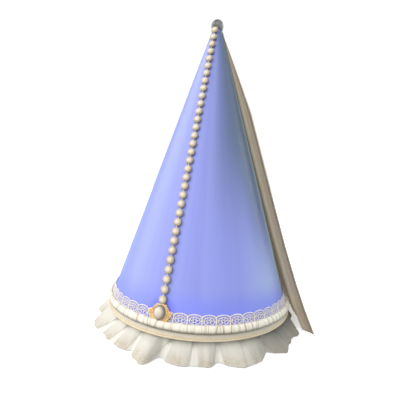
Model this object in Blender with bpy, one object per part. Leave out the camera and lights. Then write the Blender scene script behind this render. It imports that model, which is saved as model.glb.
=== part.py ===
"""Princess hat: a tall satin cone with a string of pearls, a brooch, a lace edge,
a ruched roll, a facing band, a gathered ruffle and a veil hanging from the tip.

The hat stands on the hem of its ruffle. Its front faces -Y and the veil is at +Y.
Azimuths are measured about the hat's axis from the front, growing towards +X.
"""
import math

import bmesh
import bpy
from mathutils import Vector

# Driving dimensions, in metres
CROWN_RADIUS = 0.092          # outside of the cone at the upper edge of the roll
CROWN_HEIGHT = 0.2912         # from there up to the point where the cone would close
CROWN_WALL = 0.002
TIP_RADIUS = 0.0049           # outside of the cone where it is cut off for the finial
SEAT_GAP = 0.0003             # between pieces that touch
CLOTH = 0.001                 # lace, facing band, ruffle and veil

FINIAL_RADIUS = 0.0065
FINIAL_PIN_LENGTH = 0.007

PEARL_DIAMETER = 0.0076
PEARL_DEPTH = 0.003           # flattened against the cone
PEARL_CLEARANCE = 0.0007      # least space between neighbours on the string
STRING_DROP = 0.003           # from the cone's tip down to the first pearl's middle

STONE_HALF_WIDTH = 0.0048
STONE_HALF_HEIGHT = 0.00555
STONE_RISE = 0.0036
BROOCH_METAL = 0.0008
BEZEL_RISE = 0.0005           # above the plate
FILIGREE_REACH = 0.0052       # from the bezel to the side tips

LACE_HEIGHT = 0.0091
LACE_SCALLOPS = 48

ROLL_HEIGHT = 0.0062
ROLL_DEPTH = 0.0048
ROLL_GATHERS = 48
GATHER_DEPTH = 0.0006

BAND_HEIGHT = 0.00335
EDGE_DIAMETER = 0.0016

RUFFLE_DROP = 0.0164          # from the cone's rim down to the hem
RUFFLE_HEM_RADIUS = 0.1065    # mean
RUFFLE_FLUTE_DEPTH = 0.015    # from a valley to the ridge beside it, at the hem
RUFFLE_HEADING = 0.006        # sewn inside the rim

VEIL_HALF_SPREAD = math.radians(89.0)   # to each side of the back
VEIL_FOLD_DEPTH = 0.0085      # at the hem
VEIL_EDGE_FLARE = 0.0238      # the side edge that stands off the cone, at the hem
VEIL_TOP_DROP = 0.0005        # below the cut-off tip

# Counts of sides and steps
CROWN_SIDES = 48
FINIAL_SIDES = 12
PEARL_SIDES = 10
PEARL_BANDS = 5
STONE_SIDES = 14
STONE_BANDS = 8
ROLL_SECTION_SIDES = 6
EDGE_SECTION_SIDES = 4
FLUTE_STEPS = 3               # from a valley to a ridge
VEIL_STEPS = 2                # from a valley to a ridge

# One scallop's left half: share of the scallop's width from its middle, share of LACE_HEIGHT
LACE_HALF_OUTLINE = ((-0.5, 0.0), (0.0, 0.0), (0.0, 1.0), (-0.33, 0.91), (-0.5, 0.70))
LACE_HALF_OPENING = ((-0.39, 0.17), (-0.08, 0.17), (-0.08, 0.80), (-0.31, 0.72))
LACE_HALF_FACES = ((0, 1, 6, 5), (1, 2, 7, 6), (2, 3, 8, 7), (3, 4, 8), (4, 0, 5, 8))

# Right half of the brooch plate: angle above the side tip in degrees, share of FILIGREE_REACH
BROOCH_OUTLINE = (
    (90, 0.05), (70, 0.24), (60, 0.40), (38, 0.38), (14, 0.51),
    (0, 1.00), (-28, 0.69), (-45, 0.62), (-70, 0.14), (-90, 0.05),
)
PIERCED_SHARE = 0.30          # a sector is pierced where both its sides reach further
OPENING_SHARE = 0.55          # of the sector's size

# Down the ruffle: share of RUFFLE_DROP below the rim, share of the flare, share of the flutes
RUFFLE_ROWS = ((0.03, 0.0, 0.0), (0.30, 0.36, 0.62), (0.65, 0.72, 0.92), (1.0, 1.0, 1.0))

# Round the ruffle, a row for each flute: azimuth of its valley in degrees, reach of the
# valley, azimuth of its ridge, reach of the ridge, as shares of half of RUFFLE_FLUTE_DEPTH
FLUTES = (
    (-57.0, -0.70, -46.0, 0.52), (-37.0, -0.10, -24.0, 0.05), (-12.5, -0.47, -4.0, 0.90),
    (3.5, -0.96, 15.0, -0.10), (31.5, -1.00, 43.0, 0.40), (59.0, -0.96, 67.0, 0.52),
    (82.0, -0.16, 90.0, 0.39), (104.0, -0.80, 115.0, 0.15), (127.0, -0.70, 139.0, 0.27),
    (151.0, -0.96, 162.0, 0.15), (174.0, -0.80, 186.0, 0.27), (198.0, -0.96, 209.0, 0.15),
    (221.0, -0.70, 233.0, 0.27), (245.0, -0.85, 255.0, 0.20), (265.0, -0.70, 275.0, 0.35),
    (284.0, -0.85, 294.0, 0.45),
)

# Up the veil from the roll: share of the height to the tip, share of the stand-off that the
# roll gives it, share of VEIL_FOLD_DEPTH, share of VEIL_EDGE_FLARE
VEIL_ROWS = (
    (0.00, 1.20, 0.95, 0.84), (0.09, 0.85, 0.85, 0.73), (0.22, 0.55, 0.75, 0.63),
    (0.38, 0.33, 0.62, 0.57), (0.54, 0.20, 0.50, 0.52), (0.70, 0.10, 0.36, 0.47),
    (0.87, 0.02, 0.16, 0.22), (1.00, 0.00, 0.00, 0.00),
)

# Across the veil from the hat's left: place of each ridge as a share of the spread, share of
# the fold's depth. The first is the side edge that stands off, the last lies close.
VEIL_RIDGES = (
    (-1.00, 1.00), (-0.88, 0.85), (-0.57, 1.00), (-0.36, 0.75), (-0.13, 0.95),
    (0.10, 0.80), (0.33, 1.00), (0.57, 0.75), (0.79, 0.60), (1.00, 0.25),
)

# Places that follow from the dimensions
CONE_ANGLE = math.atan2(CROWN_RADIUS, CROWN_HEIGHT)
SIN_CONE = math.sin(CONE_ANGLE)
COS_CONE = math.cos(CONE_ANGLE)
PEARL_RADIUS = PEARL_DIAMETER / 2
BAND_TOP = -(ROLL_HEIGHT + SEAT_GAP)
BAND_BOTTOM = BAND_TOP - BAND_HEIGHT
EDGE_CENTRE = BAND_BOTTOM - SEAT_GAP - EDGE_DIAMETER / 2
RIM = EDGE_CENTRE - EDGE_DIAMETER / 2
RIM_Z = RUFFLE_DROP
DATUM_Z = RIM_Z - RIM * COS_CONE
APEX_Z = DATUM_Z + CROWN_HEIGHT
TIP_Z = APEX_Z - TIP_RADIUS * CROWN_HEIGHT / CROWN_RADIUS
WALL_WIDTH = CROWN_WALL / COS_CONE
FINIAL_SEAT = TIP_Z + SEAT_GAP
FINIAL_CENTRE = FINIAL_SEAT + math.sqrt(FINIAL_RADIUS ** 2 - TIP_RADIUS ** 2)
PEARL_LIFT = SEAT_GAP + PEARL_DEPTH / 2
LACE_TOP_LIFT = SEAT_GAP + CLOTH
PLATE_LIFT = LACE_TOP_LIFT + SEAT_GAP + BROOCH_METAL / 2
BEZEL_TOP_LIFT = PLATE_LIFT + BROOCH_METAL / 2 + BEZEL_RISE
BEZEL_HALF_WIDTH = STONE_HALF_WIDTH + BROOCH_METAL / 2 - SEAT_GAP / 2
BEZEL_HALF_HEIGHT = STONE_HALF_HEIGHT + BROOCH_METAL / 2 - SEAT_GAP / 2
PLATE_LOW_REACH = BEZEL_HALF_HEIGHT + BROOCH_METAL / 2 + BROOCH_OUTLINE[-1][1] * FILIGREE_REACH
BROOCH_UP = PLATE_LOW_REACH + SEAT_GAP


def radius_at(z):
    """Outside radius of the cone at a height."""
    return CROWN_RADIUS * (APEX_Z - z) / CROWN_HEIGHT


def around(radius, azimuth, z):
    """Point at a radius and azimuth about the hat's axis."""
    return Vector((radius * math.sin(azimuth), -radius * math.cos(azimuth), z))


def on_cone(azimuth, up, lift):
    """Point up the cone from the roll's upper edge, lifted square off its surface."""
    radius = CROWN_RADIUS - up * SIN_CONE + lift * COS_CONE
    return around(radius, azimuth, DATUM_Z + up * COS_CONE + lift * SIN_CONE)


def on_front(side, up, lift):
    """As on_cone, with a sideways distance from the front line in place of the azimuth."""
    return on_cone(side / (CROWN_RADIUS - up * SIN_CONE), up, lift)


def oval_reach(half_width, half_height, angle):
    """Distance from an oval's middle to its edge at an angle above its side."""
    across = half_height * math.cos(angle)
    along = half_width * math.sin(angle)
    return half_width * half_height / math.hypot(across, along)


def ease(start, end, share):
    """Smooth step from one value to another."""
    return start + (end - start) * (0.5 - 0.5 * math.cos(math.pi * share))


def clear_scene():
    for item in list(bpy.data.objects):
        bpy.data.objects.remove(item, do_unlink=True)


def make_material(name, colour, roughness, metallic=0.0):
    material = bpy.data.materials.new(name)
    material.use_nodes = True
    shader = material.node_tree.nodes["Principled BSDF"]
    shader.inputs["Base Color"].default_value = (*colour, 1.0)
    shader.inputs["Roughness"].default_value = roughness
    shader.inputs["Metallic"].default_value = metallic
    return material


def add_piece(name, mesh, material, parent, crease_degrees=40.0):
    """Put a mesh in the scene as a named piece, shaded smooth but for its sharp edges."""
    piece = bpy.data.objects.new(name, mesh)
    bpy.context.scene.collection.objects.link(piece)
    if not mesh.materials:
        mesh.materials.append(material)
    mesh.shade_smooth()
    mesh.set_sharp_from_angle(angle=math.radians(crease_degrees))
    piece.parent = parent
    return piece


def mesh_from(name, points, faces):
    """Mesh with coincident points merged and its faces turned outwards."""
    mesh = bpy.data.meshes.new(name)
    mesh.from_pydata([tuple(point) for point in points], [], faces)
    edit = bmesh.new()
    edit.from_mesh(mesh)
    bmesh.ops.remove_doubles(edit, verts=edit.verts, dist=1e-6)
    bmesh.ops.recalc_face_normals(edit, faces=edit.faces)
    edit.to_mesh(mesh)
    edit.free()
    return mesh


def loft(name, sections, closed):
    """Skin closed sections of equal counts, joined end to end in a ring or capped."""
    count = len(sections[0])
    points = [point for section in sections for point in section]
    faces = []
    spans = len(sections) if closed else len(sections) - 1
    for span in range(spans):
        here = span * count
        there = (span + 1) % len(sections) * count
        for side in range(count):
            after = (side + 1) % count
            faces.append((here + side, here + after, there + after, there + side))
    if not closed:
        for start in (0, (len(sections) - 1) * count):
            for side in range(count // 2 - 1):
                far = count - 1 - side
                faces.append((start + side, start + side + 1, start + far - 1, start + far))
    return mesh_from(name, points, faces)


def rounded(start, end, share):
    """Quarter wave from one value to another, broad at the higher and sharp at the lower."""
    if end > start:
        return start + (end - start) * math.sin(math.pi / 2 * share)
    return end + (start - end) * math.cos(math.pi / 2 * share)


def turns(count):
    """Equal azimuths all round."""
    return [2 * math.pi * step / count for step in range(count)]


def crown():
    """Hollow cone, cut off at the tip and open at both ends."""
    profile = (
        (radius_at(RIM_Z), RIM_Z), (TIP_RADIUS, TIP_Z),
        (TIP_RADIUS - WALL_WIDTH, TIP_Z), (radius_at(RIM_Z) - WALL_WIDTH, RIM_Z),
    )
    sections = [[around(r, azimuth, z) for r, z in profile] for azimuth in turns(CROWN_SIDES)]
    return loft("crown_cone", sections, closed=True)


def finial(material, parent):
    """Ball with a flat seat on the cut-off tip and a pin down inside it."""
    pin_radius = (TIP_RADIUS - WALL_WIDTH) * math.cos(math.pi / CROWN_SIDES) - SEAT_GAP
    seat_angle = math.pi - math.asin(TIP_RADIUS / FINIAL_RADIUS)
    steps = FINIAL_SIDES // 2
    profile = []
    for step in range(steps + 1):
        angle = seat_angle * step / steps
        profile.append((FINIAL_RADIUS * math.sin(angle), FINIAL_CENTRE + FINIAL_RADIUS * math.cos(angle)))
    pin_end = FINIAL_SEAT - FINIAL_PIN_LENGTH
    profile += [(pin_radius, FINIAL_SEAT), (pin_radius, pin_end), (0.0, pin_end)]
    mesh = bpy.data.meshes.new("ball_finial")
    edges = [(index, index + 1) for index in range(len(profile) - 1)]
    mesh.from_pydata([(r, 0.0, z) for r, z in profile], edges, [])
    piece = add_piece("ball_finial", mesh, material, parent)
    screw = piece.modifiers.new("turn", "SCREW")
    screw.steps = FINIAL_SIDES
    screw.render_steps = FINIAL_SIDES
    screw.use_merge_vertices = True
    screw.merge_threshold = 1e-5
    screw.use_smooth_shade = True


def pearl_places():
    """Distances up the cone of the pearls' centres, from the tip down to the brooch."""
    lowest = BROOCH_UP + BEZEL_HALF_HEIGHT + BROOCH_METAL / 2 + SEAT_GAP + PEARL_RADIUS
    tip = math.hypot(CROWN_RADIUS, CROWN_HEIGHT) - TIP_RADIUS / SIN_CONE
    highest = tip - STRING_DROP
    count = int((highest - lowest) / (PEARL_DIAMETER + PEARL_CLEARANCE)) + 1
    pitch = (highest - lowest) / (count - 1)
    return [highest - pitch * index for index in range(count)]


def pearls(material, parent):
    """Flattened round pearls down the front, each a piece of its own."""
    mesh = bpy.data.meshes.new("pearl")
    edit = bmesh.new()
    bmesh.ops.create_uvsphere(
        edit, u_segments=PEARL_SIDES, v_segments=PEARL_BANDS, radius=PEARL_RADIUS)
    bmesh.ops.scale(edit, verts=edit.verts, vec=(1.0, PEARL_DEPTH / PEARL_DIAMETER, 1.0))
    edit.to_mesh(mesh)
    edit.free()
    for number, up in enumerate(pearl_places(), start=1):
        pearl = add_piece(f"pearl_{number:02d}", mesh, material, parent, 180.0)
        pearl.location = on_cone(0.0, up, PEARL_LIFT)
        pearl.rotation_euler = (-CONE_ANGLE, 0.0, 0.0)


def brooch_rays():
    """Angle and reach share all round the brooch plate, the table mirrored left and right."""
    right = [(math.radians(angle), share) for angle, share in BROOCH_OUTLINE]
    left = [(math.pi - angle, share) for angle, share in right[-2:0:-1]]
    return right + left


def pierce(edit, corners):
    """Four faces round an opening of the same shape as their outline."""
    middle = sum((corner.co for corner in corners), Vector()) / len(corners)
    hole = [edit.verts.new(middle.lerp(corner.co, OPENING_SHARE)) for corner in corners]
    for index in range(len(corners)):
        after = (index + 1) % len(corners)
        edit.faces.new((corners[index], corners[after], hole[after], hole[index]))


def brooch_plate(material, parent):
    """Pierced plate, bent to the cone, with a low oval bezel in one piece with it."""
    rays = brooch_rays()
    edit = bmesh.new()
    rings = []
    for lift, outline in ((BEZEL_TOP_LIFT, False), (PLATE_LIFT, False), (PLATE_LIFT, True)):
        ring = []
        for angle, share in rays:
            reach = oval_reach(BEZEL_HALF_WIDTH, BEZEL_HALF_HEIGHT, angle)
            if outline:
                reach += BROOCH_METAL / 2 + share * FILIGREE_REACH
            side = reach * math.cos(angle)
            up = BROOCH_UP + reach * math.sin(angle)
            ring.append(edit.verts.new(on_front(side, up, lift)))
        rings.append(ring)
    for inner, outer in zip(rings[:-1], rings[1:]):
        for index in range(len(rays)):
            after = (index + 1) % len(rays)
            corners = (inner[index], inner[after], outer[after], outer[index])
            shares = (rays[index][1], rays[after][1])
            if outer is rings[-1] and min(shares) > PIERCED_SHARE:
                pierce(edit, corners)
            else:
                edit.faces.new(corners)
    bmesh.ops.recalc_face_normals(edit, faces=edit.faces)
    mesh = bpy.data.meshes.new("brooch_plate")
    edit.to_mesh(mesh)
    edit.free()
    piece = add_piece("brooch_plate", mesh, material, parent)
    thicken(piece, BROOCH_METAL)


def brooch_stone():
    """Oval pearl cabochon with a flat back, seated on the bezel."""
    edit = bmesh.new()
    bmesh.ops.create_uvsphere(edit, u_segments=STONE_SIDES, v_segments=STONE_BANDS, radius=1.0)
    back = [vert for vert in edit.verts if vert.co.z < -0.01]
    bmesh.ops.delete(edit, geom=back, context="VERTS")
    rim = [edge for edge in edit.edges if edge.is_boundary]
    bmesh.ops.edgeloop_fill(edit, edges=rim)
    for vert in edit.verts:
        side = vert.co.x * STONE_HALF_WIDTH
        up = BROOCH_UP + vert.co.y * STONE_HALF_HEIGHT
        base = BEZEL_TOP_LIFT + SEAT_GAP
        vert.co = on_front(side, up, base + max(vert.co.z, 0.0) * STONE_RISE)
    bmesh.ops.recalc_face_normals(edit, faces=edit.faces)
    mesh = bpy.data.meshes.new("brooch_pearl")
    edit.to_mesh(mesh)
    edit.free()
    return mesh


def thicken(piece, thickness):
    """Give a sheet its thickness, half to each side."""
    solid = piece.modifiers.new("thickness", "SOLIDIFY")
    solid.thickness = thickness
    solid.offset = 0.0
    solid.use_even_offset = True


def lace(material, parent):
    """Scalloped band on the cone, two openings cut through each scallop."""
    width = 2 * math.pi / LACE_SCALLOPS
    half = LACE_HALF_OUTLINE + LACE_HALF_OPENING
    points = []
    faces = []
    for scallop in range(LACE_SCALLOPS):
        middle = (scallop + 0.5) * width
        for mirror in (1.0, -1.0):
            start = len(points)
            for across, up in half:
                azimuth = middle + mirror * across * width
                points.append(on_cone(azimuth, up * LACE_HEIGHT, SEAT_GAP + CLOTH / 2))
            for face in LACE_HALF_FACES:
                corners = [start + corner for corner in face]
                faces.append(corners if mirror > 0 else corners[::-1])
    mesh = mesh_from("lace_trim", points, faces)
    piece = add_piece("lace_trim", mesh, material, parent)
    thicken(piece, CLOTH)


def roll():
    """Padded roll against the cone, pinched in by its gathers."""
    sections = []
    for index, azimuth in enumerate(turns(2 * ROLL_GATHERS)):
        pinch = GATHER_DEPTH if index % 2 else 0.0
        half_depth = (ROLL_DEPTH - pinch) / 2
        half_height = (ROLL_HEIGHT - pinch) / 2
        section = []
        for corner in turns(ROLL_SECTION_SIDES):
            lift = SEAT_GAP + half_depth * (1 + math.cos(corner))
            up = -ROLL_HEIGHT / 2 + half_height * math.sin(corner)
            section.append(on_cone(azimuth, up, lift))
        sections.append(section)
    return loft("ruched_roll", sections, closed=True)


def facing_band():
    """Plain satin band on the cone under the roll."""
    inner = SEAT_GAP
    outer = SEAT_GAP + CLOTH
    corners = ((BAND_TOP, outer), (BAND_TOP, inner), (BAND_BOTTOM, inner), (BAND_BOTTOM, outer))
    sections = [[on_cone(azimuth, up, lift) for up, lift in corners] for azimuth in turns(CROWN_SIDES)]
    return loft("facing_band", sections, closed=True)


def edge_cord():
    """Thin corded edge that closes the band at the rim."""
    sections = []
    for azimuth in turns(CROWN_SIDES):
        section = []
        for corner in turns(EDGE_SECTION_SIDES):
            up = EDGE_CENTRE + EDGE_DIAMETER / 2 * math.sin(corner)
            lift = SEAT_GAP + EDGE_DIAMETER / 2 * (1 + math.cos(corner))
            section.append(on_cone(azimuth, up, lift))
        sections.append(section)
    return loft("edge_cord", sections, closed=True)


def flute_stations():
    """Azimuth and reach share round the ruffle's hem, from the table of flutes."""
    marks = []
    for valley, valley_reach, ridge, ridge_reach in FLUTES:
        marks.append((valley, valley_reach))
        marks.append((ridge, ridge_reach))
    marks.append((FLUTES[0][0] + 360.0, FLUTES[0][1]))
    stations = []
    for (start, first), (end, last) in zip(marks[:-1], marks[1:]):
        for step in range(FLUTE_STEPS):
            share = step / FLUTE_STEPS
            azimuth = math.radians(start + (end - start) * share)
            stations.append((azimuth, rounded(first, last, share)))
    return stations


def ruffle_top_radius(z):
    """Middle of the ruffle's cloth where it is sewn against the inside of the cone."""
    inside = (radius_at(z) - WALL_WIDTH) * math.cos(math.pi / CROWN_SIDES)
    return inside - (SEAT_GAP + CLOTH / 2) / COS_CONE


def hem_radius(reach):
    return RUFFLE_HEM_RADIUS + reach * RUFFLE_FLUTE_DEPTH / 2


def ruffle():
    """Gathered cloth, sewn inside the rim and fluted out to a level hem."""
    sections = []
    top_radius = ruffle_top_radius(RIM_Z)
    mean_run = hem_radius(0.0) - top_radius
    heading_z = RIM_Z + RUFFLE_HEADING
    for azimuth, reach in flute_stations():
        flute_run = hem_radius(reach) - hem_radius(0.0)
        slope = math.hypot(mean_run + flute_run, RUFFLE_DROP) / RUFFLE_DROP
        rows = [(ruffle_top_radius(heading_z), heading_z, CLOTH / 2 / COS_CONE)]
        for drop, flare, flute in RUFFLE_ROWS:
            half = CLOTH / 2 * (slope if flare else 1 / COS_CONE)
            radius = top_radius + mean_run * flare + flute_run * flute
            rows.append((radius, RIM_Z - drop * RUFFLE_DROP, half))
        outside = [around(radius + half, azimuth, z) for radius, z, half in rows]
        inside = [around(radius - half, azimuth, z) for radius, z, half in rows]
        sections.append(outside + inside[::-1])
    return loft("ruffle", sections, closed=True)


def veil_marks():
    """Across the veil: place, share of fold depth, and whether it is the flared edge."""
    marks = []
    for index, (place, depth) in enumerate(VEIL_RIDGES):
        if index:
            valley = (VEIL_RIDGES[index - 1][0] + place) / 2
            marks.append((valley, 0.0, False))
        marks.append((place, depth, index == 0))
    return marks


def behind(ridge):
    """Whether a flute's ridge lies under the veil."""
    return abs(ridge - 180.0) < math.degrees(VEIL_HALF_SPREAD) + 2.0


def veil_rows():
    """From the hem up: height, stand-off of the valleys, fold depth, stand-off of the edge."""
    close = (SEAT_GAP + CLOTH / 2) / COS_CONE
    over_roll = (SEAT_GAP + ROLL_DEPTH) / COS_CONE
    reach = max(row[3] for row in FLUTES if behind(row[2]))
    over_ruffle = hem_radius(reach) + CLOTH - radius_at(0.0)
    roll_z = DATUM_Z - ROLL_HEIGHT / 2 * COS_CONE
    top_z = TIP_Z - VEIL_TOP_DROP
    rows = [(0.0, over_ruffle + close, VEIL_FOLD_DEPTH, VEIL_EDGE_FLARE)]
    for rise, rest, fold, edge in VEIL_ROWS:
        z = roll_z + (top_z - roll_z) * rise
        valley = close + over_roll * rest
        rows.append((z, valley, VEIL_FOLD_DEPTH * fold, max(valley, VEIL_EDGE_FLARE * edge)))
    return rows


def veil():
    """Sheet in long folds that hangs from the tip down the back to the level of the hem."""
    marks = veil_marks()
    stations = []
    for start, end in zip(marks[:-1], marks[1:]):
        for step in range(VEIL_STEPS):
            stations.append((start, end, step / VEIL_STEPS))
    stations.append((marks[-2], marks[-1], 1.0))
    half = CLOTH / 2 / COS_CONE
    sections = []
    for start, end, share in stations:
        azimuth = math.pi + VEIL_HALF_SPREAD * (start[0] + (end[0] - start[0]) * share)
        outside = []
        inside = []
        for z, valley, fold, edge in veil_rows():
            stand = [edge if is_edge else valley + fold * depth for _, depth, is_edge in (start, end)]
            radius = radius_at(z) + ease(stand[0], stand[1], share)
            outside.append(around(radius + half, azimuth, z))
            inside.append(around(radius - half, azimuth, z))
        sections.append(outside + inside[::-1])
    return loft("veil", sections, closed=False)


def centre_on_footprint(hat_axis):
    """Move the hat so that the middle of its bounding box stands over the origin."""
    bpy.context.view_layer.update()
    corners = [
        item.matrix_world @ vert.co
        for item in hat_axis.children for vert in item.data.vertices]
    for axis in (0, 1):
        values = [corner[axis] for corner in corners]
        hat_axis.location[axis] = -(min(values) + max(values)) / 2


def build():
    clear_scene()
    hat_axis = bpy.data.objects.new("hat_axis", None)
    bpy.context.scene.collection.objects.link(hat_axis)

    satin = make_material("blue_satin", (0.31, 0.36, 0.88), 0.45)
    silver = make_material("grey_metal", (0.29, 0.29, 0.29), 0.35, 0.8)
    pearl = make_material("pearl", (0.62, 0.52, 0.38), 0.25)
    gold = make_material("gilt_filigree", (0.90, 0.55, 0.20), 0.35, 1.0)
    stone = make_material("brooch_pearl", (0.62, 0.52, 0.40), 0.22)
    cream_lace = make_material("cream_lace", (0.82, 0.76, 0.72), 0.85)
    cream_satin = make_material("cream_satin", (0.90, 0.86, 0.74), 0.6)
    facing = make_material("beige_satin", (0.60, 0.53, 0.40), 0.6)
    edging = make_material("tan_cord", (0.70, 0.50, 0.28), 0.6)
    ruffle_cloth = make_material("ivory_cotton", (0.78, 0.75, 0.70), 0.85)
    veil_cloth = make_material("ivory_voile", (0.60, 0.56, 0.48), 0.7)

    add_piece("crown_cone", crown(), satin, hat_axis)
    finial(silver, hat_axis)
    pearls(pearl, hat_axis)
    brooch_plate(gold, hat_axis)
    add_piece("brooch_pearl", brooch_stone(), stone, hat_axis)
    lace(cream_lace, hat_axis)
    add_piece("ruched_roll", roll(), cream_satin, hat_axis, 60.0)
    add_piece("facing_band", facing_band(), facing, hat_axis)
    add_piece("edge_cord", edge_cord(), edging, hat_axis, 100.0)
    add_piece("ruffle", ruffle(), ruffle_cloth, hat_axis)
    add_piece("veil", veil(), veil_cloth, hat_axis)
    centre_on_footprint(hat_axis)


build()
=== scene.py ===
import math

import bmesh
import bpy
import numpy as np
from mathutils import Matrix, Vector


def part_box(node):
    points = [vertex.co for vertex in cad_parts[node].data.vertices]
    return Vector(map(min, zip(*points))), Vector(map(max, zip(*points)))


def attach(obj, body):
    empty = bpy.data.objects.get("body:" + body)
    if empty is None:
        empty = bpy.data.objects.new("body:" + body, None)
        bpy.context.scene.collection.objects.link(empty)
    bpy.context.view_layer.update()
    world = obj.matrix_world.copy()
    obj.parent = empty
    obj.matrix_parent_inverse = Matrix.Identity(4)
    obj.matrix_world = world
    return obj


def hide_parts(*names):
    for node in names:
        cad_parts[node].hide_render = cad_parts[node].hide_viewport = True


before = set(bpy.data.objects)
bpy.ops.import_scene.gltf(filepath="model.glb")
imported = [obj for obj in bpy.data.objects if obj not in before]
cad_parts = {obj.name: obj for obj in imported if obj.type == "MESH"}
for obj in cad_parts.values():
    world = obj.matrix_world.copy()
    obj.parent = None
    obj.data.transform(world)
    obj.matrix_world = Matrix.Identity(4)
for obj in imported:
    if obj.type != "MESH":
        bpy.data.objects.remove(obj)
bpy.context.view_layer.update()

BODY = "root"
TURN = 2 * math.pi

# The cone, read from the frame, and the point that the trims are measured from
CONE_LOW, CONE_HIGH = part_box("crown_cone")
AXIS_X = (CONE_LOW.x + CONE_HIGH.x) / 2
AXIS_Y = (CONE_LOW.y + CONE_HIGH.y) / 2
RIM_Z = CONE_LOW.z
TIP_Z = CONE_HIGH.z
RIM_RADIUS = (CONE_HIGH.x - CONE_LOW.x) / 2
TIP_RADIUS = 0.0049
CONE_SLOPE = (RIM_RADIUS - TIP_RADIUS) / (TIP_Z - RIM_Z)
CONE_ANGLE = math.atan(CONE_SLOPE)
SIN_CONE = math.sin(CONE_ANGLE)
COS_CONE = math.cos(CONE_ANGLE)
CROWN_WALL = 0.002
SEAT_GAP = 0.0003

# Trims up the cone from its rim, in metres
EDGE_DIAMETER = 0.0016
BAND_HEIGHT = 0.00335
ROLL_HEIGHT = 0.0062
ROLL_DEPTH = 0.0048
ROLL_SWELL = 0.0010           # the padding swells this far over the lace's foot
ROLL_GATHERS = 96
LACE_HEIGHT = 0.0091
LACE_FOOT = 0.0010            # sewn down under the roll
LACE_SCALLOPS = 48
DATUM_UP = EDGE_DIAMETER + BAND_HEIGHT + ROLL_HEIGHT + 2 * SEAT_GAP
DATUM_Z = RIM_Z + DATUM_UP * COS_CONE
DATUM_RADIUS = RIM_RADIUS - DATUM_UP * SIN_CONE

# Brooch
STONE_HALF_WIDTH = 0.0048
STONE_HALF_HEIGHT = 0.00555
STONE_RISE = 0.0036
FILIGREE_REACH = 0.0052
BROOCH_UP = 0.00676
PLATE_LIFT = 0.002
BEZEL_LIFT = 0.0027

# Pearls
PEARL_RADIUS = 0.0038
PEARL_HALF_DEPTH = 0.0015     # flattened against the cone
PEARL_COUNT = 33

# Ruffle
HEM_RADIUS = 0.1065
FLUTE_HALF_DEPTH = 0.0075
RUFFLE_HEADING = 0.006
RUFFLE_CLOTH = 0.0006

# Veil
VEIL_HALF_SPREAD = math.radians(89.0)
VEIL_FOLD_DEPTH = 0.0085
VEIL_EDGE_FLARE = 0.0238
VEIL_TOP_DROP = 0.0005
VEIL_CLOTH = 0.0005


# Places about the hat's axis. Azimuths grow from the front, at -Y, towards +X.

def radius_at(z):
    """Outside radius of the cone at a height."""
    return TIP_RADIUS + (TIP_Z - z) * CONE_SLOPE


def around(radius, azimuth, z):
    """Points at radii and azimuths about the hat's axis, as an array of rows x, y, z."""
    radius, azimuth, z = np.broadcast_arrays(radius, azimuth, z)
    return np.stack((AXIS_X + radius * np.sin(azimuth), AXIS_Y - radius * np.cos(azimuth), z), -1)


def on_cone(azimuth, up, lift):
    """Points up the cone from the roll's upper edge, lifted square off its surface."""
    radius = DATUM_RADIUS - up * SIN_CONE + lift * COS_CONE
    return around(radius, azimuth, DATUM_Z + up * COS_CONE + lift * SIN_CONE)


def on_front(side, up, lift):
    """As on_cone, with a sideways distance from the front line in place of the azimuth."""
    return on_cone(side / (DATUM_RADIUS - up * SIN_CONE), up, lift)


def off_cone(azimuth):
    """Directions square off the cone's surface."""
    azimuth = np.asarray(azimuth, float)
    return np.stack((
        np.sin(azimuth) * COS_CONE, -np.cos(azimuth) * COS_CONE,
        np.full(azimuth.shape, SIN_CONE)), -1)


def smooth_step(share):
    """A share from 0 to 1, eased at both ends."""
    share = np.clip(share, 0.0, 1.0)
    return share * share * (3 - 2 * share)


# Meshes

def grid_faces(index):
    """Quads between neighbours of a grid of vertex numbers."""
    corners = (index[:-1, :-1], index[1:, :-1], index[1:, 1:], index[:-1, 1:])
    return np.stack(corners, -1).reshape(-1, 4)


def new_piece(name, points, faces, material, nodes=()):
    """Smooth-shaded piece on the hat's body that stands for some of the frame's nodes."""
    mesh = bpy.data.meshes.new(name)
    mesh.from_pydata(np.asarray(points).reshape(-1, 3).tolist(), [], [list(face) for face in faces])
    mesh.shade_smooth()
    mesh.materials.append(material)
    piece = bpy.data.objects.new(name, mesh)
    bpy.context.scene.collection.objects.link(piece)
    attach(piece, BODY)
    if nodes:
        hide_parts(*nodes)
    return piece


def grid_piece(name, points, material, nodes=(), ring_u=False, ring_v=False):
    """Piece skinned over a grid of points, joined end to end where it is a ring."""
    rows, columns = points.shape[:2]
    index = np.arange(rows * columns).reshape(rows, columns)
    if ring_u:
        index = np.vstack((index, index[:1]))
    if ring_v:
        index = np.hstack((index, index[:, :1]))
    return new_piece(name, points, grid_faces(index), material, nodes)


def paint(piece, name, values):
    """Keep one number for each vertex, for the material to read."""
    layer = piece.data.attributes.new(name, "FLOAT", "POINT")
    layer.data.foreach_set("value", np.asarray(values, np.float32).ravel())


def thicken(piece, thickness):
    """Give a sheet its thickness, half to each side."""
    solid = piece.modifiers.new("thickness", "SOLIDIFY")
    solid.thickness = thickness
    solid.offset = 0.0


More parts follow.
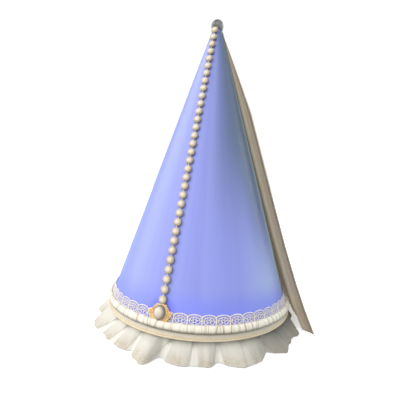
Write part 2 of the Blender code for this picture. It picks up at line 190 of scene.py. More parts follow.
def tubes(paths, outward, radius, sides, flat=1.0, ring=False):
    """Round threads along many paths of equal length: their points and faces.

    paths and outward have the shape (paths, points, 3). flat is the thread's depth
    along outward as a share of its width."""
    if ring:
        ahead = np.roll(paths, -1, 1) - np.roll(paths, 1, 1)
    else:
        ahead = np.gradient(paths, axis=1)
    ahead /= np.linalg.norm(ahead, axis=-1, keepdims=True)
    across = np.cross(ahead, outward)
    across /= np.linalg.norm(across, axis=-1, keepdims=True)
    lift = np.cross(across, ahead)
    corner = np.arange(sides) * TURN / sides
    size = np.broadcast_to(np.asarray(radius, float), paths.shape[:2])[..., None, None]
    points = paths[:, :, None] + size * (
        across[:, :, None] * np.cos(corner)[:, None]
        + lift[:, :, None] * np.sin(corner)[:, None] * flat)
    count, length = paths.shape[:2]
    index = np.arange(count * length * sides).reshape(count, length, sides)
    index = np.concatenate((index, index[:, :, :1]), 2)
    if ring:
        index = np.concatenate((index, index[:, :1]), 1)
    sheets = [grid_faces(strand) for strand in index]
    faces = [tuple(face) for face in np.concatenate(sheets)]
    if not ring:
        for strand in index:
            faces.append(tuple(strand[0, :-1]))
            faces.append(tuple(strand[-1, -2::-1]))
    return points.reshape(-1, 3), faces


def joined(groups):
    """One list of points and faces from several."""
    points = []
    faces = []
    start = 0
    for some_points, some_faces in groups:
        points.append(some_points)
        faces += [tuple(corner + start for corner in face) for face in some_faces]
        start += len(some_points)
    return np.concatenate(points), faces


def balls(centres, radius, segments=10, rings=6):
    """Small round grains: their points and faces."""
    edit = bmesh.new()
    bmesh.ops.create_uvsphere(edit, u_segments=segments, v_segments=rings, radius=1.0)
    unit = np.array([vert.co[:] for vert in edit.verts])
    faces = [tuple(vert.index for vert in face.verts) for face in edit.faces]
    edit.free()
    sizes = np.broadcast_to(radius, len(centres))
    return joined([(unit * size + centre, faces) for centre, size in zip(centres, sizes)])


# Materials

class Finish:
    """A Principled material whose nodes are added by short calls that return sockets."""

    def __init__(self, name, **settings):
        self.material = bpy.data.materials.new(name)
        self.material.use_nodes = True
        self.tree = self.material.node_tree
        self.shader = self.tree.nodes["Principled BSDF"]
        for socket, value in settings.items():
            self.shader.inputs[socket.replace("_", " ")].default_value = value

    def node(self, kind, inputs, **settings):
        node = self.tree.nodes.new("ShaderNode" + kind)
        for key, value in settings.items():
            setattr(node, key, value)
        for key, value in inputs.items():
            if isinstance(value, bpy.types.NodeSocket):
                self.tree.links.new(value, node.inputs[key])
            else:
                node.inputs[key].default_value = value
        return node

    def set(self, socket, value):
        self.tree.links.new(value, self.shader.inputs[socket])

    def math(self, operation, first, second=0.0):
        return self.node("Math", {0: first, 1: second}, operation=operation).outputs[0]

    def where(self):
        """Point in the piece's own axes."""
        return self.node("TexCoord", {}).outputs["Object"]

    def place(self):
        """Point on the hat, measured from its axis."""
        inputs = {0: self.where(), 1: (AXIS_X, AXIS_Y, 0.0)}
        return self.node("VectorMath", inputs, operation="SUBTRACT").outputs[0]

    def parts(self, vector):
        return self.node("SeparateXYZ", {0: vector}).outputs

    def joined(self, x, y, z):
        return self.node("CombineXYZ", {0: x, 1: y, 2: z}).outputs[0]

    def azimuth(self, point):
        return self.math("ARCTAN2", point[0], self.math("MULTIPLY", point[1], -1.0))

    def heading(self, point, spin, rise):
        """Vector that varies round the axis and up it, with no seam."""
        azimuth = self.azimuth(point)
        side = self.math("MULTIPLY", self.math("SINE", azimuth), spin)
        front = self.math("MULTIPLY", self.math("COSINE", azimuth), spin)
        return self.joined(side, front, self.math("MULTIPLY", point[2], rise))

    def noise(self, vector, scale, detail=2.0):
        inputs = {"Vector": vector, "Scale": scale, "Detail": detail}
        return self.node("TexNoise", inputs).outputs[0]

    def cells(self, vector, scale):
        return self.node("TexVoronoi", {"Vector": vector, "Scale": scale}).outputs["Distance"]

    def attribute(self, name):
        return self.node("Attribute", {}, attribute_name=name).outputs["Fac"]

    def spread(self, value, low, high, bottom=0.0, top=1.0):
        """A value's place between two bounds, kept between two others."""
        inputs = {0: value, 1: low, 2: high, 3: bottom, 4: top}
        return self.node("MapRange", inputs, interpolation_type="SMOOTHSTEP").outputs[0]

    def mix(self, share, first, second):
        inputs = {0: share, 6: rgb(first), 7: rgb(second)}
        return self.node("Mix", inputs, data_type="RGBA").outputs[2]

    def bump(self, height, strength, distance):
        inputs = {"Height": height, "Strength": strength, "Distance": distance}
        self.set("Normal", self.node("Bump", inputs).outputs[0])


def rgb(colour):
    """A colour given as display values from 0 to 255, as the shader reads it."""
    if isinstance(colour, bpy.types.NodeSocket):
        return colour
    shares = [value / 255 for value in colour]
    return (*[s / 12.92 if s < 0.04045 else ((s + 0.055) / 1.055) ** 2.4 for s in shares], 1.0)


def blue_satin():
    """Periwinkle satin, with painted light and shade: paler low on the +X side, slate high on it with a
    darker stripe, a pale teal painted rim light at its far edge, paler low and deeper high on the -X side,
    and deeper blue painted shade above the lace and round the brooch.
    """
    finish = Finish(
        "blue_satin", Roughness=0.42, Sheen_Weight=0.5, Sheen_Roughness=0.35,
        Sheen_Tint=(0.62, 0.78, 1.0, 1.0))
    place = finish.place()
    point = finish.parts(place)
    azimuth = finish.azimuth(point)
    bands = finish.noise(finish.heading(point, 2.6, 0.8), 1.0, 3.0)
    body = finish.mix(finish.spread(bands, 0.35, 0.65), (146, 155, 238), (156, 167, 246))

    high = finish.spread(point[2], 0.07, 0.20)
    low = finish.spread(point[2], 0.03, 0.13, 1.0, 0.0)
    plus_x_painted_light = finish.spread(azimuth, 0.75, 1.25)
    plus_x_painted_shade = finish.spread(azimuth, 0.0, 1.10)
    # Painted light: paler blue low on the +X side.
    body = finish.mix(finish.math("MULTIPLY", plus_x_painted_light, low), body, (178, 196, 244))
    # Painted shade: slate blue high on the +X side.
    body = finish.mix(finish.math("MULTIPLY", plus_x_painted_shade, high), body, (104, 120, 154))
    # Painted shade: a darker slate stripe high on the +X side.
    painted_shade_stripe = finish.spread(azimuth, 0.95, 1.30, 0.0, 0.7)
    painted_shade_stripe = finish.math("MULTIPLY", painted_shade_stripe, finish.spread(point[2], 0.05, 0.14))
    body = finish.mix(painted_shade_stripe, body, (92, 106, 130))
    # Painted rim light: pale teal near the +X edge, paler still in the shaded crevice by the veil's edge.
    body = finish.mix(finish.spread(azimuth, 1.45, 1.65), body, (150, 190, 204))
    body = finish.mix(finish.spread(azimuth, 1.60, 1.80), body, (206, 238, 246))
    # Painted light and shade on the -X side: paler blue low down, deeper blue high up.
    minus_x_painted_shading = finish.spread(azimuth, -1.1, -0.6, 0.6, 0.0)
    body = finish.mix(minus_x_painted_shading, body, finish.mix(high, (166, 192, 250), (108, 130, 200)))

    # Painted shade: deeper blue just above the lace.
    painted_shade_above_lace = finish.spread(point[2], DATUM_Z + LACE_HEIGHT, DATUM_Z + 0.030, 0.75, 0.0)
    body = finish.mix(painted_shade_above_lace, body, (134, 146, 255))
    # Painted shade: deeper blue round the brooch.
    centre = tuple(on_front(0.0, BROOCH_UP, 0.0) - np.array((AXIS_X, AXIS_Y, 0.0)))
    away = finish.node("VectorMath", {0: place, 1: centre}, operation="DISTANCE").outputs["Value"]
    body = finish.mix(finish.spread(away, 0.008, 0.016, 0.7, 0.0), body, (112, 122, 252))
    hem = finish.spread(point[2], DATUM_Z - 0.0002, DATUM_Z + 0.0010, 1.0, 0.0)
    finish.set("Base Color", finish.mix(hem, body, (206, 194, 170)))
    threads = finish.noise(finish.heading(point, 260.0, 9.0), 1.0, 2.0)
    weft = finish.noise(finish.heading(point, 30.0, 900.0), 1.0, 1.0)
    finish.bump(finish.math("ADD", threads, weft), 0.10, 0.0003)
    finish.set("Roughness", finish.spread(threads, 0.2, 0.8, 0.38, 0.50))
    return finish.material


def pearl_finish(name, light, deep):
    """Warm pearl with a soft lustre, a painted highlight where it faces out and painted shade, golden
    brown, round its foot.
    """
    finish = Finish(name, Roughness=0.34, Coat_Weight=0.2, Coat_Roughness=0.25)
    where = finish.where()
    cloud = finish.noise(where, 160.0, 2.0)
    rise = finish.attribute("rise")
    body = finish.mix(finish.spread(cloud, 0.35, 0.7), light, deep)
    # Painted highlight where the bead faces straight out.
    body = finish.mix(finish.spread(rise, 0.70, 1.0, 0.0, 0.8), body, (240, 230, 216))
    # Painted shade, golden brown, round the foot where the bead turns in to the cone.
    foot = finish.spread(rise, -0.2, 0.55, 1.0, 0.0)
    finish.set("Base Color", finish.mix(foot, body, (150, 134, 108)))
    finish.set("Roughness", finish.spread(cloud, 0.3, 0.7, 0.30, 0.38))
    return finish.material


def grey_metal(name, light, dark):
    """Brushed grey metal with darker patches."""
    finish = Finish(name, Metallic=0.35, Roughness=0.42)
    where = finish.where()
    patches = finish.spread(finish.noise(where, 110.0, 2.0), 0.34, 0.62)
    finish.set("Base Color", finish.mix(patches, light, dark))
    grain = finish.noise(where, 1800.0, 2.0)
    finish.bump(grain, 0.15, 0.0002)
    finish.set("Roughness", finish.spread(grain, 0.3, 0.7, 0.34, 0.52))
    return finish.material


def gilt():
    """Gilt wire: warm gold, redder in random patches."""
    finish = Finish("gilt_filigree", Metallic=0.35, Roughness=0.32)
    where = finish.where()
    tone = finish.spread(finish.noise(where, 420.0, 2.0), 0.35, 0.65)
    finish.set("Base Color", finish.mix(tone, (255, 228, 152), (255, 198, 124)))
    finish.bump(finish.noise(where, 2500.0, 1.0), 0.1, 0.0001)
    return finish.material


def lace_thread():
    """Cotton lace thread, twisted and slightly uneven in tone."""
    finish = Finish("cream_lace", Roughness=0.85, Sheen_Weight=0.2)
    where = finish.where()
    tone = finish.spread(finish.noise(where, 700.0, 2.0), 0.3, 0.7)
    finish.set("Base Color", finish.mix(tone, (252, 247, 244), (238, 228, 224)))
    finish.bump(finish.noise(where, 3800.0, 2.0), 0.35, 0.0002)
    return finish.material


def ruched_satin():
    """Cream satin, with painted shade pinker and darker down in its gathers and darker on its underside."""
    finish = Finish("cream_satin", Roughness=0.55, Sheen_Weight=0.2)
    point = finish.parts(finish.place())
    deep = finish.attribute("deep")
    under = finish.attribute("under")
    lines = finish.noise(finish.heading(point, 110.0, 20.0), 1.0, 3.0)
    body = finish.mix(finish.spread(lines, 0.42, 0.72, 0.0, 0.7), (248, 245, 231), (232, 219, 198))
    # Painted shade, pinker and darker, down in the gathers.
    body = finish.mix(finish.spread(deep, 0.08, 0.9, 0.0, 0.95), body, (192, 170, 144))
    # Painted shade on the roll's underside.
    body = finish.mix(finish.math("MULTIPLY", under, 0.85), body, (132, 122, 104))
    finish.set("Base Color", body)
    finish.bump(lines, 0.3, 0.0003)
    return finish.material


def facing_satin():
    """Beige satin ribbon, more golden towards its lower edge."""
    finish = Finish("beige_satin", Roughness=0.5, Sheen_Weight=0.15)
    point = finish.parts(finish.place())
    across = finish.attribute("across")
    body = finish.mix(finish.spread(across, 0.2, 1.0), (222, 215, 200), (226, 208, 176))
    cloud = finish.noise(finish.heading(point, 14.0, 300.0), 1.0, 2.0)
    cloud = finish.spread(cloud, 0.4, 0.8, 0.0, 0.5)
    finish.set("Base Color", finish.mix(cloud, body, (200, 189, 168)))
    weave = finish.noise(finish.heading(point, 320.0, 2600.0), 1.0, 2.0)
    finish.bump(weave, 0.25, 0.0002)
    return finish.material


def edge_thread():
    """Golden tan yarn."""
    finish = Finish("tan_cord", Roughness=0.6, Sheen_Weight=0.15)
    where = finish.where()
    tone = finish.spread(finish.noise(where, 900.0, 2.0), 0.3, 0.7)
    finish.set("Base Color", finish.mix(tone, (240, 226, 196), (228, 210, 176)))
    finish.bump(finish.noise(where, 4000.0, 2.0), 0.3, 0.0002)
    return finish.material


def ruffle_cotton():
    """Ivory cotton, whiter in the folds, with a speckled worked border at the hem, and painted shade: dark
    at the head of each fold, just below the band, and on the +X side.
    """
    finish = Finish("ivory_cotton", Roughness=0.85, Sheen_Weight=0.15)
    point = finish.parts(finish.place())
    fold = finish.attribute("fold")
    drop = finish.attribute("drop")
    azimuth = finish.azimuth(point)
    body = finish.mix(finish.spread(fold, 0.25, 0.9), (218, 215, 206), (236, 234, 228))
    border = finish.spread(drop, 0.30, 0.90, 0.0, 0.75)
    where = finish.where()
    holes = finish.spread(finish.cells(where, 900.0), 0.15, 0.5)
    patch = finish.spread(finish.noise(where, 90.0, 2.0), 0.35, 0.65, 0.45, 0.9)
    worked = finish.mix(holes, (220, 213, 199), (180, 166, 143))
    share = finish.math("MULTIPLY", border, finish.spread(fold, 0.2, 0.9, 1.0, 0.3))
    share = finish.math("MULTIPLY", share, patch)
    body = finish.mix(share, body, worked)
    # Painted shade, dark brown, at the head of each fold below the band.
    body = finish.mix(finish.attribute("painted_crease_shade"), body, (112, 102, 85))
    # Painted shadow just below the band, towards the +X side.
    under = finish.spread(drop, 0.0, 0.42, 0.6, 0.0)
    under = finish.math("MULTIPLY", under, finish.spread(azimuth, -0.5, 0.4))
    body = finish.mix(under, body, (150, 146, 137))
    # Painted shade on the +X side, darkest near the band.
    shade = finish.spread(azimuth, 0.65, 1.25, 0.0, 0.8)
    plus_x_painted_shade = finish.mix(finish.spread(drop, 0.1, 0.9), (80, 78, 71), (142, 136, 125))
    finish.set("Base Color", finish.mix(shade, body, plus_x_painted_shade))
    weave = finish.noise(finish.heading(point, 300.0, 1500.0), 1.0, 2.0)
    relief = finish.math("MULTIPLY", finish.math("MULTIPLY", holes, border), 1.5)
    finish.bump(finish.math("ADD", weave, relief), 0.35, 0.0003)
    return finish.material


def veil_voile():
    """Ivory voile: fine weave, streaked down its length, with painted shade browner in the folds and
    painted light and shade in bands across the flared edge.
    """
    finish = Finish("ivory_voile", Roughness=0.75, Sheen_Weight=0.3, Sheen_Roughness=0.5)
    finish.shader.inputs["Subsurface Weight"].default_value = 1.0
    finish.shader.inputs["Subsurface Scale"].default_value = 0.0012
    finish.shader.inputs["Subsurface Radius"].default_value = (1.0, 0.95, 0.85)
    point = finish.parts(finish.place())
    tone = finish.attribute("tone")
    # Painted light and shade from the tone attribute: browner in the folds, paler on the ridges, banded
    # across the flared edge.
    body = finish.mix(finish.spread(tone, 0.0, 0.5), (112, 104, 90), (172, 160, 142))
    body = finish.mix(finish.spread(tone, 0.5, 1.0), body, (228, 222, 212))
    streak = finish.noise(finish.heading(point, 40.0, 1.5), 1.0, 3.0)
    body = finish.mix(finish.spread(streak, 0.35, 0.75, 0.0, 0.3), body, (150, 140, 122))
    finish.set("Base Color", body)
    # Painted light: the cloth glows faintly in its own colour near the free edge, standing in for light
    # through the voile.
    finish.set("Emission Color", body)
    finish.set("Emission Strength", finish.math("MULTIPLY", finish.attribute("painted_glow"), 0.2))
    weave = finish.noise(finish.heading(point, 500.0, 2500.0), 1.0, 1.0)
    finish.bump(weave, 0.25, 0.0002)
    return finish.material


# Pieces

def crown():
    """Satin cone, drawn smooth over its stiffening, open below."""
    sides, rings = 288, 48
    azimuth = np.arange(sides) * TURN / sides
    shares = np.linspace(0.0, 1.0, rings)
    z_out = RIM_Z + (TIP_Z - RIM_Z) * shares
    wall = CROWN_WALL / COS_CONE
    bands = sum(np.cos(count * azimuth + phase) / count ** 0.5
                for count, phase in ((5, 0.4), (9, 2.1), (14, 4.0), (23, 1.3)))
    sway = 0.00012 * bands[:, None] * np.sin(math.pi * np.clip(shares, 0.02, 0.98))[None, :]
    outside = around(radius_at(z_out)[None, :] + sway, azimuth[:, None], z_out[None, :])
    inside = around((radius_at(z_out) - wall)[None, :], azimuth[:, None], z_out[None, :])[:, ::-1]
    points = np.concatenate((outside, inside), 1)
    piece = grid_piece(
        "satin_cone", points, blue_satin(), ["crown_cone"], ring_u=True, ring_v=True)
    piece.data.set_sharp_from_angle(angle=math.radians(50.0))


def finial():
    """Round ball seated on the cut-off tip."""
    low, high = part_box("ball_finial")
    radius = (high.x - low.x) / 2
    seat_z = TIP_Z + SEAT_GAP
    centre = seat_z + math.sqrt(radius ** 2 - TIP_RADIUS ** 2)
    end = math.pi - math.asin(TIP_RADIUS / radius)
    angle = np.linspace(0.0, end, 28)
    pin = TIP_RADIUS - CROWN_WALL / COS_CONE - SEAT_GAP
    reach = np.concatenate((radius * np.sin(angle), (pin, pin, 0.0)))
    height = np.concatenate((centre + radius * np.cos(angle), (seat_z, low.z, low.z)))
    azimuth = np.arange(48) * TURN / 48
    points = around(reach[None, :], azimuth[:, None], height[None, :])
    material = grey_metal("ball_metal", (154, 155, 154), (84, 84, 84))
    piece = grid_piece("ball", points, material, ["ball_finial"], ring_u=True)
    tidy(piece)


def tidy(piece):
    """Merge coincident points, drop faces without area and turn the rest outwards."""
    edit = bmesh.new()
    edit.from_mesh(piece.data)
    bmesh.ops.remove_doubles(edit, verts=edit.verts, dist=1e-7)
    bmesh.ops.recalc_face_normals(edit, faces=edit.faces)
    edit.to_mesh(piece.data)
    edit.free()


def pearl_centre(number):
    """Middle of one pearl, read from the frame."""
    low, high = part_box(f"pearl_{number:02d}")
    return (low + high) / 2


def pearls():
    """A smooth flattened bead for each pearl, drilled along the string, and the thread."""
    material = pearl_finish("pearl", (196, 181, 155), (187, 171, 144))
    steps = np.linspace(0.12, math.pi - 0.12, 20)
    azimuth = np.arange(32) * TURN / 32
    ball = np.stack(np.broadcast_arrays(
        np.sin(steps)[None, :] * np.cos(azimuth)[:, None],
        np.sin(steps)[None, :] * np.sin(azimuth)[:, None],
        np.cos(steps)[None, :]), -1)
    ball = np.concatenate((ball, ball[:, [-1, 0]] * np.array((0.9, 0.9, 0.6))), 1)
    along = np.array((0.0, SIN_CONE, COS_CONE))
    side = np.array((1.0, 0.0, 0.0))
    bead_shape = PEARL_RADIUS * (ball[..., :1] * side + ball[..., 2:] * along)
    bead_shape += PEARL_HALF_DEPTH * ball[..., 1:2] * off_cone(0.0)
    for number in range(1, PEARL_COUNT + 1):
        centre = np.array(pearl_centre(number))
        bead = grid_piece(
            f"pearl_bead_{number:02d}", bead_shape + centre, material,
            [f"pearl_{number:02d}"], ring_u=True, ring_v=True)
        tidy(bead)
        # How squarely each point faces out, which the material turns into a painted highlight and painted
        # shade.
        paint(bead, "rise", ball[..., 1])
    first, last = np.array(pearl_centre(1)), np.array(pearl_centre(PEARL_COUNT))
    path = first + (last - first) * np.linspace(-0.004, 1.006, 60)[:, None]
    outward = np.broadcast_to(off_cone(0.0), path.shape)
    points, faces = tubes(path[None], outward[None], 0.0004, 6)
    new_piece("pearl_thread", points, faces, lace_thread())


# Right half of the brooch's outline: angle above the side tip in degrees, share of the reach
BROOCH_OUTLINE = (
    (90, 0.05), (70, 0.24), (60, 0.40), (38, 0.38), (14, 0.51),
    (0, 1.00), (-28, 0.69), (-45, 0.62), (-70, 0.14), (-90, 0.05),
)


def oval_reach(half_width, half_height, angle):
    """Distance from an oval's middle to its edge at each angle."""
    return half_width * half_height / np.hypot(half_height * np.cos(angle), half_width * np.sin(angle))


def filigree_reach(angle):
    """How far the filigree reaches past the bezel at each angle."""
    side = np.degrees(np.arcsin(np.sin(angle)))
    known = sorted(BROOCH_OUTLINE)
    return FILIGREE_REACH * np.interp(side, [row[0] for row in known], [row[1] for row in known])


def brooch():
    """Gilt filigree soldered round a grey bezel that holds an oval pearl."""
    wire = 0.00046
    angle = np.arange(180) * TURN / 180
    bezel = oval_reach(STONE_HALF_WIDTH, STONE_HALF_HEIGHT, angle) + 0.0004
    outer = bezel + np.maximum(filigree_reach(angle), 0.0005) - wire / 2

    def ring_path(reach, lift):
        return on_front(reach * np.cos(angle), BROOCH_UP + reach * np.sin(angle), lift)[None]

    outward = np.broadcast_to(off_cone(0.0), (1, 180, 3))
    groups = [
        tubes(ring_path(outer, PLATE_LIFT), outward, wire, 8, ring=True),
        tubes(ring_path(bezel + wire, PLATE_LIFT), outward, wire, 8, ring=True),
    ]
    rings = []
    for centre_angle in np.radians(np.arange(0, 360, 15)):
        start = float(oval_reach(STONE_HALF_WIDTH, STONE_HALF_HEIGHT, centre_angle)) + 0.0008
        gap = float(filigree_reach(centre_angle)) - 0.0006
        count = max(int(round(gap / 0.0016)), 0)
        for row in range(count):
            size = gap / count / 2
            reach = start + size * (2 * row + 1)
            side = reach * math.cos(centre_angle)
            up = BROOCH_UP + reach * math.sin(centre_angle)
            rings.append((side, up, size))
    turn = np.arange(16) * TURN / 16
    paths = np.array([
        on_front(side + size * np.cos(turn), up + size * np.sin(turn), PLATE_LIFT)
        for side, up, size in rings])
    groups.append(tubes(paths, np.broadcast_to(off_cone(0.0), paths.shape), wire * 0.8, 6, ring=True))
    edge = np.arange(44) * TURN / 44
    edge_reach = oval_reach(STONE_HALF_WIDTH, STONE_HALF_HEIGHT, edge) + 0.0003 + filigree_reach(edge)
    beads = on_front(
        edge_reach * np.cos(edge), BROOCH_UP + edge_reach * np.sin(edge), PLATE_LIFT + 0.0003)
    groups.append(balls(beads, 0.0004))
    points, faces = joined(groups)
    new_piece("brooch_filigree", points, faces, gilt(), ["brooch_plate"])

    dark = grey_metal("bezel_metal", (198, 192, 182), (164, 160, 152))
    points, faces = tubes(
        ring_path(bezel + 0.0001, BEZEL_LIFT), outward, 0.00030, 10, flat=1.2, ring=True)
    new_piece("brooch_bezel", points, faces, dark)

    steps = np.linspace(0.0, math.pi / 2, 16)
    turn = np.arange(56) * TURN / 56
    dome = np.stack(np.broadcast_arrays(
        np.cos(turn)[:, None] * np.sin(steps)[None, :], np.sin(turn)[:, None] * np.sin(steps)[None, :],
        np.cos(steps)[None, :]), -1)
    base = PLATE_LIFT + 0.0012
    cap = on_front(
        dome[..., 0] * STONE_HALF_WIDTH, BROOCH_UP + dome[..., 1] * STONE_HALF_HEIGHT,
        base + dome[..., 2] * STONE_RISE)
    back = on_front(0.0, BROOCH_UP, base)[None, None] * np.ones((56, 1, 1))
    stone = pearl_finish("brooch_pearl", (166, 152, 130), (156, 142, 120))
    piece = grid_piece(
        "oval_pearl", np.concatenate((cap, back), 1), stone, ["brooch_pearl"],
        ring_u=True)
    tidy(piece)
    # How squarely the stone faces out, for its painted highlight and painted shade round its foot.
    rise = [Vector(off_cone(0.0)).dot(vert.normal) for vert in piece.data.vertices]
    paint(piece, "rise", 0.35 + 0.65 * np.array(rise))


def arch(half_width, height, foot, count, start=0.0, end=math.pi):
    """Points along an arch inside one scallop, as shares of its width and of the lace's height."""
    angle = np.linspace(start, end, count)
    return np.stack((half_width * np.cos(angle), foot + height * np.sin(angle)), -1)


def line(first, last, count):
    """Points along a straight line between two."""
    share = np.linspace(0.0, 1.0, count)[:, None]
    return np.array(first) * (1 - share) + np.array(last) * share


def lace():
    """Scalloped lace: doubled arches over a wheel of spokes, posts between, and a net footing."""
    width = TURN / LACE_SCALLOPS
    count = 19
    cusp, hub, foot = 0.70, 0.42, -LACE_FOOT / LACE_HEIGHT
    heavy = [arch(0.5, 0.26, cusp, count), line((-0.5, foot), (-0.5, cusp), count)]
    medium = [arch(0.36, 0.34, hub, count, 0.0, TURN)]
    light = [arch(0.10, 0.11, hub, count, 0.0, TURN), line((-0.5, 0.04), (0.5, 0.04), count)]
    spokes = []
    for angle in np.radians((17, 68, 116, 168, 232, 308)):
        side, up = math.cos(angle), math.sin(angle)
        spokes.append(line((0.09 * side, hub + 0.10 * up), (0.36 * side, hub + 0.34 * up), 3))
    fine = []
    for angle in np.radians(np.arange(-18, 199, 18)):
        side, up = math.cos(angle), math.sin(angle)
        outer = (0.5 * side, cusp + 0.26 * up) if up > 0 else (math.copysign(0.5, side), hub + 0.1)
        fine.append(line((0.36 * side, hub + 0.34 * up), outer, 3))
    for angle in np.radians(np.arange(42.5, 360, 51.4)):
        side, up = math.cos(angle), math.sin(angle)
        fine.append(line((0.10 * side, hub + 0.11 * up), (0.24 * side, hub + 0.23 * up), 3))
    for step in range(8):
        side = -0.5 + step / 8
        fine.append(line((side, 0.04), (side + 1 / 16, 0.15), 3))
        fine.append(line((side + 1 / 16, 0.15), (side + 1 / 8, 0.04), 3))
    for level in (0.22, 0.36):
        for side in (-1, 1):
            fine.append(line((0.5 * side, level), (0.34 * side, level + 0.02), 3))

    groups = []
    for strands, radius, lift, sides in (
            (heavy, 0.00048, 0.0010, 6), (medium, 0.00036, 0.0009, 5), (light, 0.00026, 0.0009, 5),
            (spokes, 0.00036, 0.0009, 5), (fine, 0.00023, 0.0008, 4)):
        flat_paths = np.array(strands)
        azimuth = (np.arange(LACE_SCALLOPS)[:, None, None] + 0.5 + flat_paths[None, ..., 0]) * width
        up = np.broadcast_to(flat_paths[None, ..., 1] * LACE_HEIGHT, azimuth.shape)
        azimuth = azimuth.reshape(-1, flat_paths.shape[1])
        paths = on_cone(azimuth, up.reshape(azimuth.shape), lift)
        groups.append(tubes(paths, off_cone(azimuth), radius, sides, flat=0.7))
    points, faces = joined(groups)
    piece = new_piece("lace", points, faces, lace_thread(), ["lace_trim"])


def roll():
    """Padded roll, drawn in by gathers with finer lines between them."""
    steps, corners = 1800, 26
    chance = np.random.default_rng(11)
    azimuth = np.arange(steps) * TURN / steps
    corner = np.arange(corners) * TURN / corners
    deep = np.zeros((steps, corners))
    for gather in range(ROLL_GATHERS):
        middle = (gather + chance.uniform(-0.22, 0.22)) * TURN / ROLL_GATHERS
        slant = chance.normal(0.0, 0.005)
        lines = [(middle, chance.uniform(0.35, 1.0), 0.0068)]
        for away in (-0.027, -0.014, 0.014, 0.028):
            lines.append((middle + away + chance.normal(0.0, 0.004), chance.uniform(0.0, 0.5), 0.0048))
        for place, size, width in lines:
            gap = azimuth[:, None] - place - slant * np.sin(corner)[None, :]
            gap = (gap + math.pi) % TURN - math.pi
            deep += size * np.exp(-(gap / width) ** 2)
    deep = np.clip(deep, 0.0, 1.0)
    swell = 0.00016 * np.sin(31 * azimuth + 0.7) + 0.00010 * np.sin(52 * azimuth + 2.0)
    pinch = 0.0005 * deep
    half_depth = (ROLL_DEPTH - 0.0003) / 2
    half_height = (ROLL_HEIGHT - 0.0003 + ROLL_SWELL) / 2
    middle_up = (ROLL_SWELL - ROLL_HEIGHT) / 2
    sunk = np.minimum(swell, 0)[:, None]
    lift = SEAT_GAP + half_depth + (half_depth + sunk - pinch) * np.cos(corner)[None, :]
    up = middle_up + (half_height + sunk / 2 - pinch) * np.sin(corner)[None, :]
    points = on_cone(azimuth[:, None], up, lift)
    piece = grid_piece(
        "roll", points, ruched_satin(), ["ruched_roll"], ring_u=True, ring_v=True)
    # Gather depth and underside share, which the material turns into painted shade.
    paint(piece, "deep", deep)
    under = smooth_step(-np.sin(corner) * 1.2 - 0.15)
    paint(piece, "under", np.broadcast_to(under[None, :], deep.shape))


def band():
    """Satin ribbon under the roll, drawn close over the stiffening."""
    steps, rows = 360, 14
    azimuth = np.arange(steps) * TURN / steps
    share = np.linspace(0.0, 1.0, rows)
    top = -ROLL_HEIGHT - SEAT_GAP
    height = BAND_HEIGHT + SEAT_GAP
    up = np.concatenate((top - height * share, top - height * share[::-1]))
    outer = SEAT_GAP + 0.0006 + 0.0005 * smooth_step(share * 1.3)
    lift = np.concatenate((outer, np.full(rows, SEAT_GAP)))
    points = on_cone(azimuth[:, None], up[None, :], lift[None, :])
    piece = grid_piece(
        "band", points, facing_satin(), ["facing_band"], ring_u=True, ring_v=True)
    across = np.concatenate((share, share[::-1]))
    paint(piece, "across", np.broadcast_to(across[None, :], (steps, 2 * rows)))


def edge():
    """Two-ply cord round the rim."""
    steps, corners, twists = 2160, 10, 240
    azimuth = np.arange(steps) * TURN / steps
    corner = np.arange(corners) * TURN / corners
    lobes = 1.0 - 0.08 * np.abs(np.sin(corner[None, :] - twists / 2 * azimuth[:, None]))
    size = EDGE_DIAMETER / 2 * lobes
    centre = -DATUM_UP + EDGE_DIAMETER / 2
    up = centre + size * np.sin(corner)[None, :]
    lift = SEAT_GAP + EDGE_DIAMETER / 2 + 0.8 * size * np.cos(corner)[None, :]
    points = on_cone(azimuth[:, None], up, lift)
    grid_piece(
        "edge_piping", points, edge_thread(), ["edge_cord"], ring_u=True, ring_v=True)


# Round the ruffle's hem: azimuth in degrees, reach as a share of FLUTE_HALF_DEPTH
HEM_MARKS = (
    (-57.0, -0.70), (-49.0, 0.45), (-43.0, 0.50), (-37.0, -0.05), (-24.0, -0.02), (-14.0, -0.10),
    (-11.5, -0.40), (-6.0, 0.50), (-1.5, 1.00), (3.0, -0.95), (10.0, -0.30), (14.0, -0.10),
    (20.0, -0.32), (26.0, -0.20), (31.5, -1.00), (36.0, -0.20), (43.0, 0.40), (50.0, 0.05),
    (59.0, -0.95), (63.0, -0.20), (67.0, 0.52), (75.0, -0.08), (82.0, -0.16), (90.0, 0.39),
    (104.0, -0.80), (115.0, 0.15), (127.0, -0.70), (139.0, 0.27), (151.0, -0.96), (162.0, 0.15),
    (174.0, -0.80), (186.0, 0.27), (198.0, -0.96), (209.0, 0.15), (221.0, -0.70), (233.0, 0.27),
    (245.0, -0.85), (255.0, 0.20), (265.0, -0.70), (275.0, 0.35), (284.0, -0.85), (294.0, 0.45),
)


def hem_reach(azimuth):
    """Reach of the hem at each azimuth, rounded on the ridges and sharper in the valleys."""
    places = np.radians([row[0] for row in HEM_MARKS] + [HEM_MARKS[0][0] + 360.0])
    values = np.array([row[1] for row in HEM_MARKS] + [HEM_MARKS[0][1]])
    turned = (azimuth - places[0]) % TURN + places[0]
    slot = np.clip(np.searchsorted(places, turned, side="right") - 1, 0, len(places) - 2)
    share = (turned - places[slot]) / (places[slot + 1] - places[slot])
    first, last = values[slot], values[slot + 1]
    rising = first + (last - first) * np.sin(math.pi / 2 * share)
    falling = last + (first - last) * np.cos(math.pi / 2 * share)
    even = first + (last - first) * (0.5 - 0.5 * np.cos(math.pi * share))
    return 0.6 * np.where(last > first, rising, falling) + 0.4 * even


